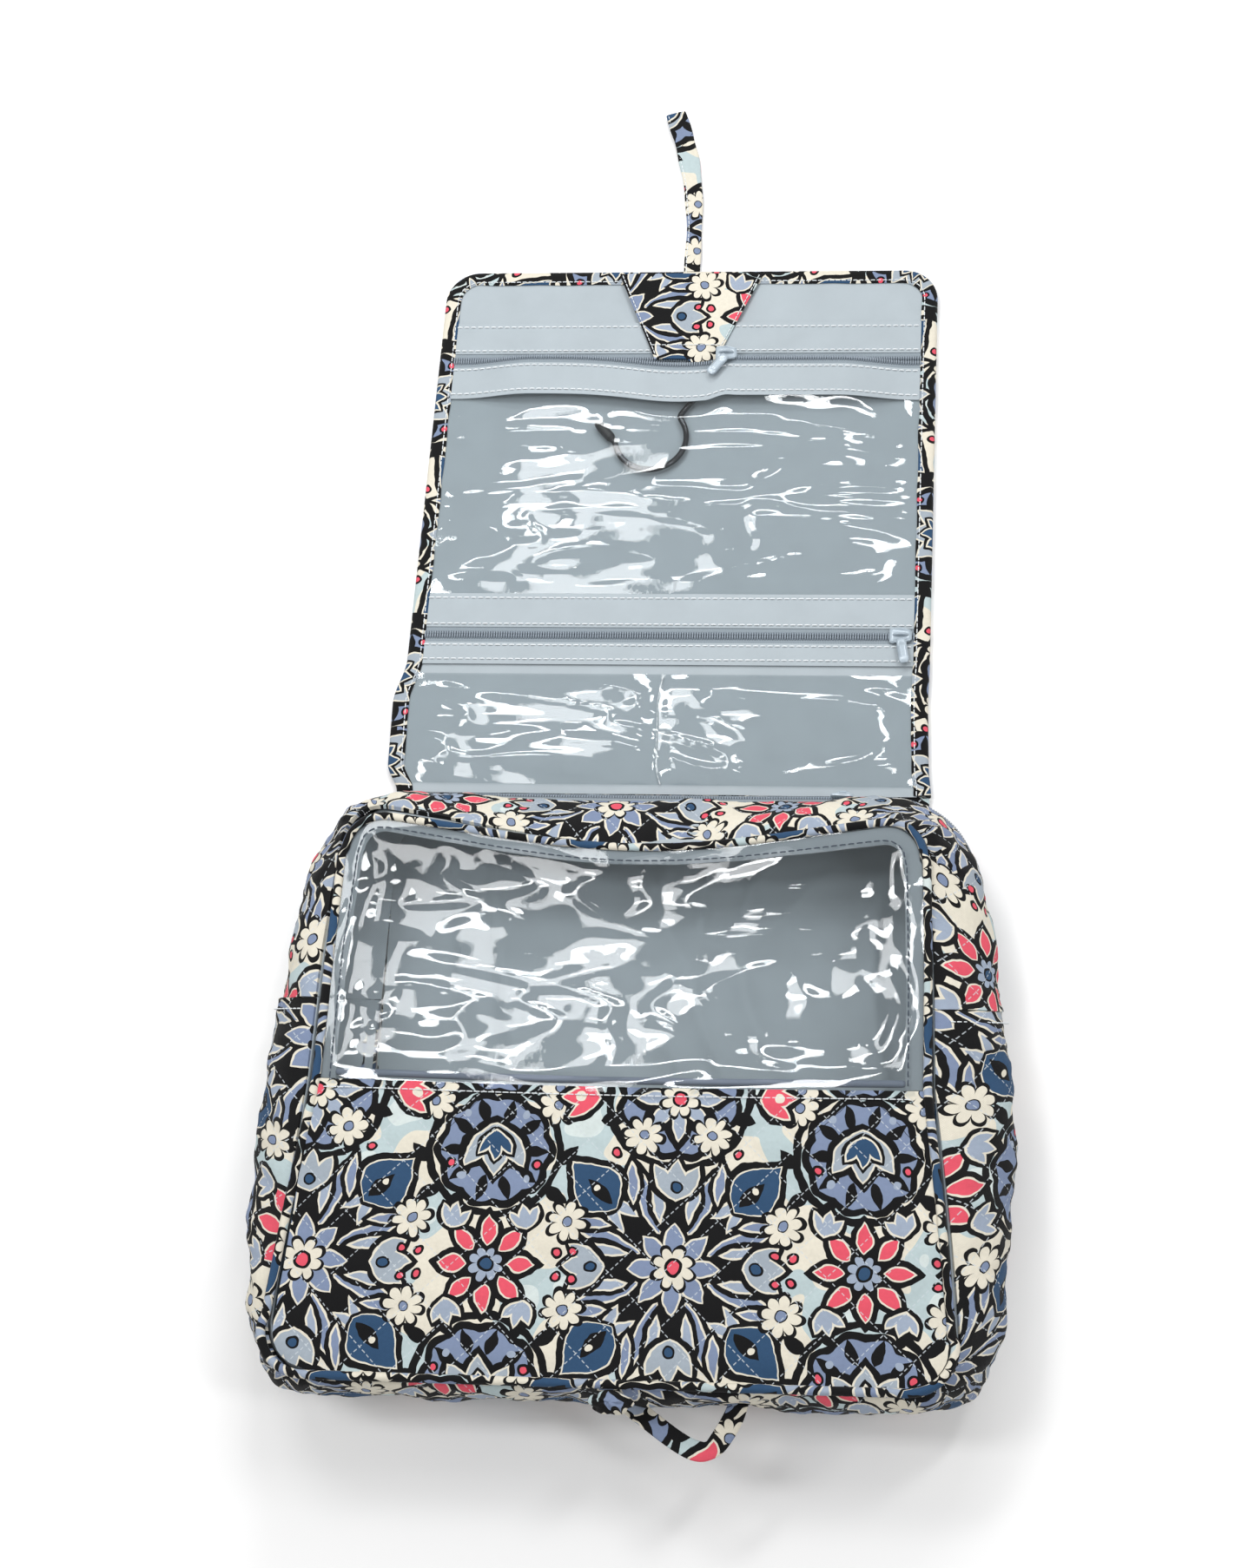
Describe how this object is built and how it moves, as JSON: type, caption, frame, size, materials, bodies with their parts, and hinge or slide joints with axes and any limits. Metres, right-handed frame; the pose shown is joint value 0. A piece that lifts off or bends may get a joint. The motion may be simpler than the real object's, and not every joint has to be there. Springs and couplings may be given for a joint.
{
  "type": "hanging toiletry bag",
  "caption": "Soft hanging toiletry bag: a zipped box with a clear window, a folding flap with clear zipped pockets, a swivel hook on a fabric tab, and a closure strap.",
  "frame": {"origin": "centre of the back panel's outer face in X, on that face, under the box's top edge where the flap starts", "axes": "+X across the bag to the right as the flap's inside is seen, +Y from the box along the flap to the closure strap, +Z out of the box's front"},
  "size_m": [0.3332, 0.7157, 0.0748],
  "materials": {
    "quilted_print": "quilted cotton with a dense black-outlined floral print in navy, slate, pale aqua, coral and cream",
    "print_trim": "the same printed cotton, unquilted, folded into piping, binding and straps",
    "lining": "plain-weave grey-blue lining, matte",
    "zip_tape": "grey-blue woven zip tape",
    "zip_coil": "nylon coil, satin",
    "clear_film": "clear glossy film, wrinkled",
    "zip_enamel": "pale blue-grey enamel, semi-gloss",
    "dark_chrome": "dark nickel plate, polished",
    "hook_rubber": "black rubber cap, satin"
  },
  "bodies": {
    "box": {"back_panel": "quilted_print", "back_lining": "lining", "back_piping": "print_trim", "lower_gusset": "quilted_print", "lower_gusset_lining": "lining", "zip_flange": "quilted_print", "main_zip_tape_back": "zip_tape", "main_zip_coil_back": "zip_coil", "front_panel": "quilted_print", "front_panel_lining": "lining", "front_piping_base": "print_trim", "window_film_foot": "clear_film", "window_binding_foot_left": "lining", "window_binding_foot_right": "lining", "window_lower_edging": "lining", "bottom_loop_tack": "print_trim"},
    "lid": {"upper_gusset": "quilted_print", "upper_gusset_lining": "lining", "main_zip_tape_lid": "zip_tape", "main_zip_coil_lid": "zip_coil", "window_film": "clear_film", "window_binding": "lining", "front_piping_lid": "print_trim"},
    "main_slider": {"main_zip_slider": "zip_enamel"},
    "main_pull": {"main_zip_pull": "zip_enamel"},
    "loop": {"bottom_loop": "print_trim"},
    "flap_lower": {"flap_lower_shell": "quilted_print", "flap_lower_lining": "lining", "flap_lower_binding_right": "print_trim", "flap_lower_binding_left": "print_trim", "pocket_film_lower": "clear_film"},
    "flap_upper": {"flap_upper_shell": "quilted_print", "flap_upper_lining": "lining", "flap_upper_binding": "print_trim", "pocket_film_upper": "clear_film", "zip_upper_band_upper": "lining", "zip_upper_tape_upper": "zip_tape", "zip_upper_coil_upper": "zip_coil", "zip_upper_coil_lower": "zip_coil", "zip_upper_tape_lower": "zip_tape", "zip_upper_band_lower": "lining", "zip_lower_band_upper": "lining", "zip_lower_tape_upper": "zip_tape", "zip_lower_coil_upper": "zip_coil", "zip_lower_coil_lower": "zip_coil", "zip_lower_tape_lower": "zip_tape", "zip_lower_band_lower": "lining"},
    "upper_slider": {"zip_upper_slider": "zip_enamel"},
    "upper_pull": {"zip_upper_pull": "zip_enamel"},
    "lower_slider": {"zip_lower_slider": "zip_enamel"},
    "lower_pull": {"zip_lower_pull": "zip_enamel"},
    "hook_tab": {"hook_tab": "print_trim", "hook_rivet": "dark_chrome"},
    "hook": {"hook_eye": "dark_chrome", "hook_collar": "dark_chrome", "hook_wire": "dark_chrome", "hook_tip": "hook_rubber"},
    "strap_root": {"strap_root": "print_trim"},
    "strap_end": {"strap_end": "print_trim"}
  },
  "joints": [
    {"name": "flap_fold_lower", "type": "hinge", "parent": "box", "child": "flap_lower", "pos_m": [0, 0.012, 0.004], "axis": [1, 0, 0], "range_deg": [0, 90]},
    {"name": "flap_fold_upper", "type": "hinge", "parent": "flap_lower", "child": "flap_upper", "pos_m": [0, 0.074, 0.004], "axis": [1, 0, 0], "range_deg": [0, 84]},
    {"name": "lid_open", "type": "hinge", "parent": "box", "child": "lid", "pos_m": [0, -0.112, 0.0594], "axis": [-1, 0, 0], "range_deg": [-50, 0]},
    {"name": "main_zip_slide", "type": "slide", "parent": "box", "child": "main_slider", "axis": [1, 0, 0], "range_m": [-0.184, 0]},
    {"name": "main_pull_swing", "type": "hinge", "parent": "main_slider", "child": "main_pull", "pos_m": [0.092, 0.0046, 0.0239], "axis": [-1, 0, 0], "range_deg": [-120, 0]},
    {"name": "loop_swing", "type": "hinge", "parent": "box", "child": "loop", "pos_m": [0.035, -0.284, 0.05], "axis": [1, 0, 0], "range_deg": [-80, 0]},
    {"name": "upper_zip_slide", "type": "slide", "parent": "flap_upper", "child": "upper_slider", "axis": [1, 0, 0], "range_m": [-0.135, 0.088]},
    {"name": "upper_pull_swing", "type": "hinge", "parent": "upper_slider", "child": "upper_pull", "pos_m": [0.0215, 0.2478, 0.0151], "axis": [1, 0, 0], "range_deg": [-130, 0]},
    {"name": "lower_zip_slide", "type": "slide", "parent": "flap_upper", "child": "lower_slider", "axis": [1, 0, 0], "range_m": [-0.23, 0]},
    {"name": "lower_pull_swing", "type": "hinge", "parent": "lower_slider", "child": "lower_pull", "pos_m": [0.116, 0.0895, 0.0095], "axis": [1, 0, 0], "range_deg": [-130, 0]},
    {"name": "hook_tab_flip", "type": "hinge", "parent": "flap_upper", "child": "hook_tab", "pos_m": [0, 0.3035, 0.007], "axis": [1, 0, 0], "range_deg": [-175, 0]},
    {"name": "hook_turn", "type": "hinge", "parent": "hook_tab", "child": "hook", "pos_m": [0.02309, 0.2435, 0.007], "axis": [0, 0, 1], "range_deg": [-8, 40]},
    {"name": "strap_fold", "type": "hinge", "parent": "flap_upper", "child": "strap_root", "pos_m": [0, 0.309, 0.004], "axis": [1, 0, 0], "range_deg": [0, 15]},
    {"name": "strap_tuck", "type": "hinge", "parent": "strap_root", "child": "strap_end", "pos_m": [-0.0005, 0.3605, 0.0026], "axis": [1, 0, 0], "range_deg": [0, 40]}
  ]
}
